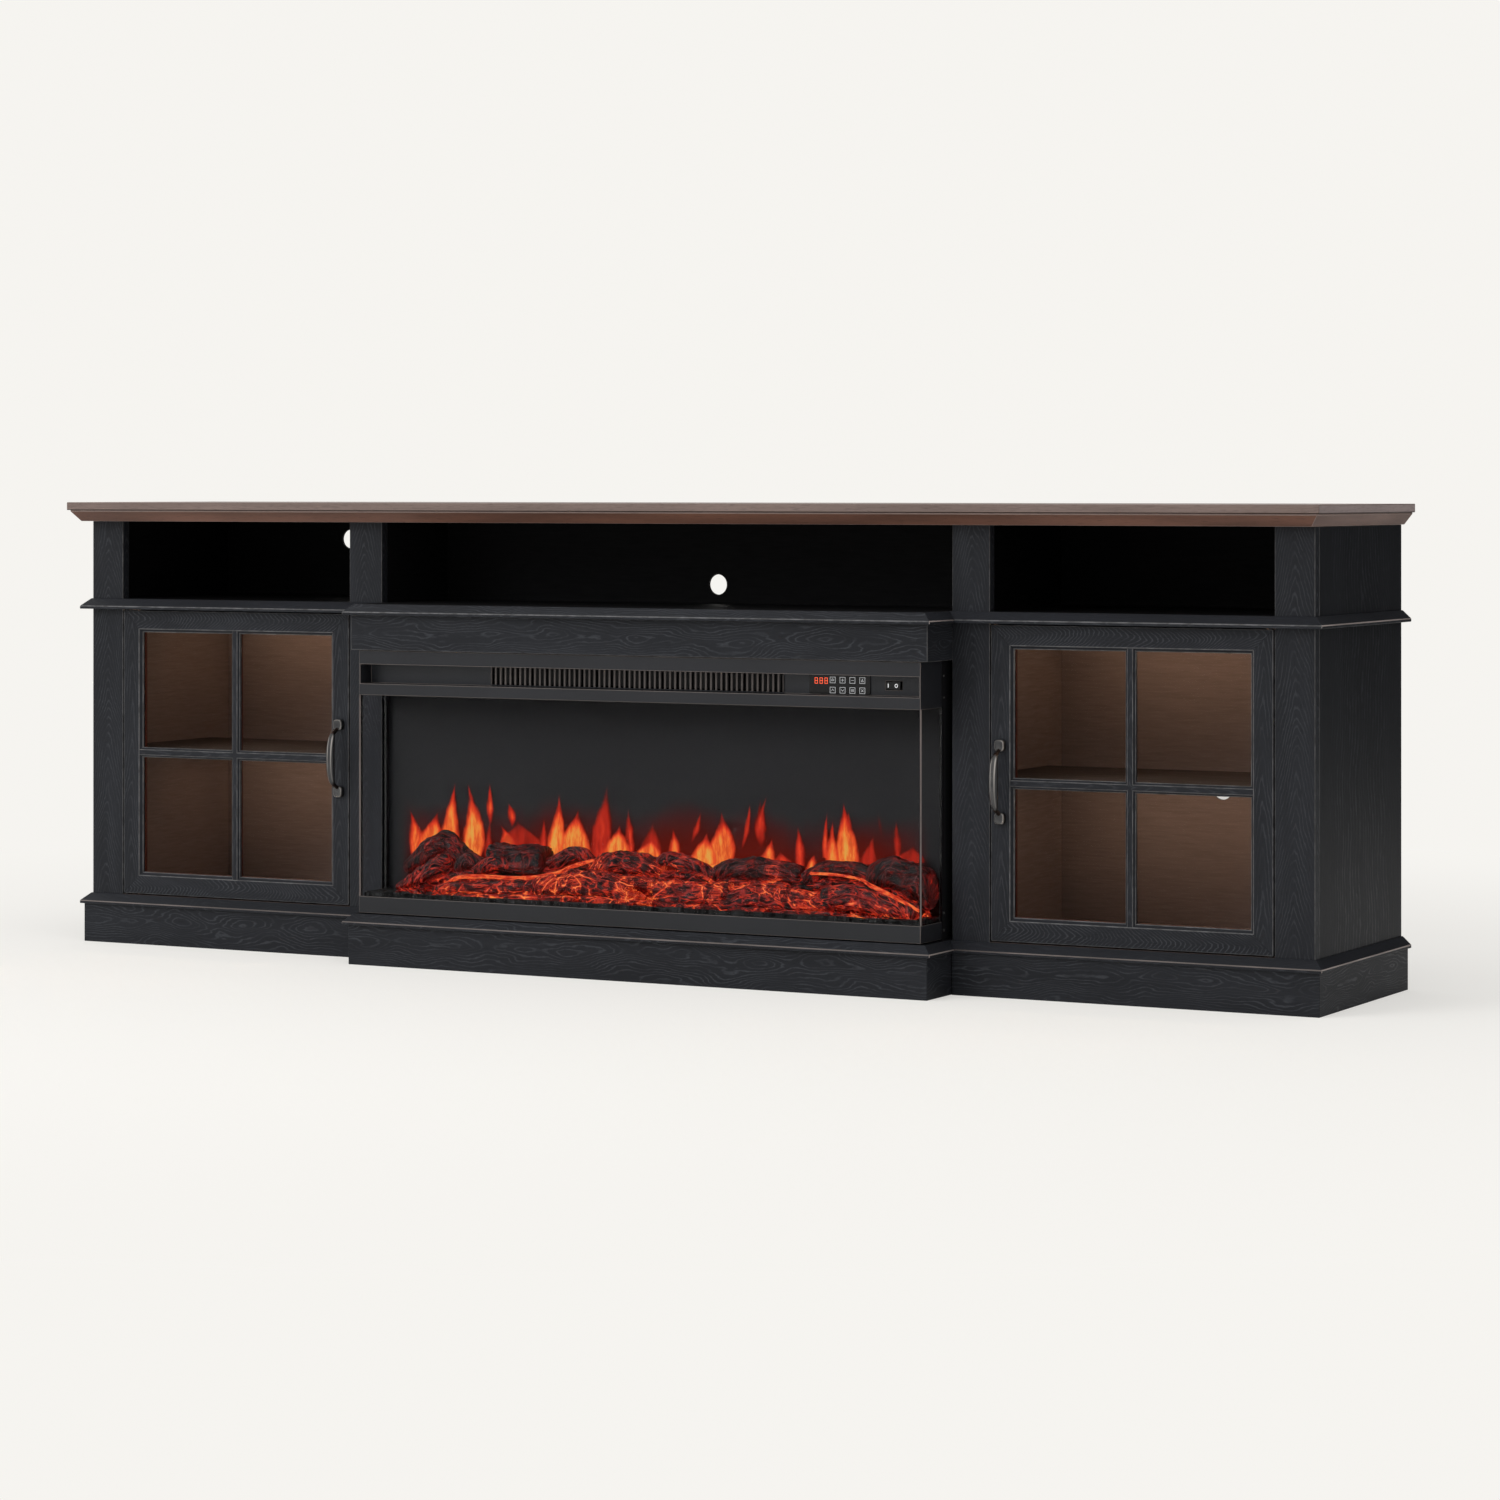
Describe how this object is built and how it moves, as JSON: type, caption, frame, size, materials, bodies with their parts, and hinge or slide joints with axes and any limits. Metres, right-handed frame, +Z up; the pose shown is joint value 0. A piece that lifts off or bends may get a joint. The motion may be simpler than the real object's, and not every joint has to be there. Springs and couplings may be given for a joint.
{
  "type": "fireplace tv stand",
  "caption": "Long painted cabinet with a wood top, open niches, glazed side cupboards and a forward-set middle section that holds an electric fire with glass on its front and both ends.",
  "frame": {"origin": "under the middle of the stand at floor level, at the centre of its overall depth", "axes": "+X to the viewer's right along the stand, +Y from the front to the back, +Z up"},
  "size_m": [2.032, 0.436, 0.676],
  "materials": {
    "painted_wood": "satin charcoal paint over embossed wood grain",
    "dark_inside": "matt near-black laminate",
    "top_wood": "satin grey-brown grained veneer",
    "crown_wood": "satin red-brown stain",
    "fire_metal": "fine satin dark grey",
    "black_metal": "matt black",
    "pull_metal": "gunmetal with rubbed pale edges",
    "clear_glass": "clear",
    "smoked_glass": "smoked, polished edges",
    "black_plastic": "gloss black",
    "lamp_plastic": "warm lit diffuser",
    "ember_resin": "translucent red lit from below",
    "charred_resin": "charred bark with glowing cracks",
    "bright_metal": "plain bright metal"
  },
  "bodies": {
    "cabinet": {"tabletop": "top_wood", "crown_board": "crown_wood", "bottom_board": "dark_inside", "centre_deck": "painted_wood", "centre_back_panel": "dark_inside", "centre_frieze": "painted_wood", "back_plinth_rail": "dark_inside", "fire_housing": "black_metal", "fire_hood": "fire_metal", "vent_grille": "fire_metal", "control_panel": "black_plastic", "fire_base": "fire_metal", "front_glass": "smoked_glass", "flame_screen": "smoked_glass", "ember_bed": "ember_resin", "log_set": "charred_resin", "spindle_motor": "black_metal", "blower_motor": "black_metal", "heater_element": "bright_metal", "ember_lamp": "lamp_plastic", "mains_gland": "black_plastic", "left_waist_moulding": "painted_wood", "centre_waist_moulding": "painted_wood", "right_waist_moulding": "painted_wood", "left_skirting": "painted_wood", "centre_skirting": "painted_wood", "right_skirting": "painted_wood", "left_side_panel": "painted_wood", "left_partition": "dark_inside", "left_outer_stile": "painted_wood", "left_inner_stile": "painted_wood", "left_deck": "painted_wood", "left_back_panel": "dark_inside", "left_shelf": "dark_inside", "left_light_bar": "lamp_plastic", "left_upper_pivot": "bright_metal", "left_lower_pivot": "bright_metal", "left_side_glass": "smoked_glass", "right_side_panel": "painted_wood", "right_partition": "dark_inside", "right_outer_stile": "painted_wood", "right_inner_stile": "painted_wood", "right_deck": "painted_wood", "right_back_panel": "dark_inside", "right_shelf": "dark_inside", "right_light_bar": "lamp_plastic", "right_upper_pivot": "bright_metal", "right_lower_pivot": "bright_metal", "right_side_glass": "smoked_glass"},
    "left_door": {"left_door_frame": "painted_wood", "left_door_glass": "clear_glass", "left_door_muntins": "painted_wood", "left_door_pull": "pull_metal"},
    "right_door": {"right_door_frame": "painted_wood", "right_door_glass": "clear_glass", "right_door_muntins": "painted_wood", "right_door_pull": "pull_metal"},
    "rocker": {"rocker_switch": "black_plastic"},
    "spindle": {"flame_spindle": "bright_metal"},
    "blower": {"blower_wheel": "black_plastic"}
  },
  "joints": [
    {"name": "left_door_hinge", "type": "hinge", "parent": "cabinet", "child": "left_door", "pos_m": [-0.933, -0.121, 0.29325], "axis": [0, 0, -1], "range_deg": [0, 100]},
    {"name": "right_door_hinge", "type": "hinge", "parent": "cabinet", "child": "right_door", "pos_m": [0.933, -0.121, 0.29325], "axis": [0, 0, 1], "range_deg": [0, 100]},
    {"name": "rocker_rock", "type": "hinge", "parent": "cabinet", "child": "rocker", "pos_m": [0.401, -0.169, 0.42575], "axis": [0, 0, 1], "range_deg": [0, 14]},
    {"name": "flame_spindle_spin", "type": "hinge", "parent": "cabinet", "child": "spindle", "pos_m": [0, -0.092, 0.15], "axis": [1, 0, 0], "continuous": true},
    {"name": "blower_spin", "type": "hinge", "parent": "cabinet", "child": "blower", "pos_m": [0, -0.107, 0.426], "axis": [1, 0, 0], "continuous": true}
  ]
}
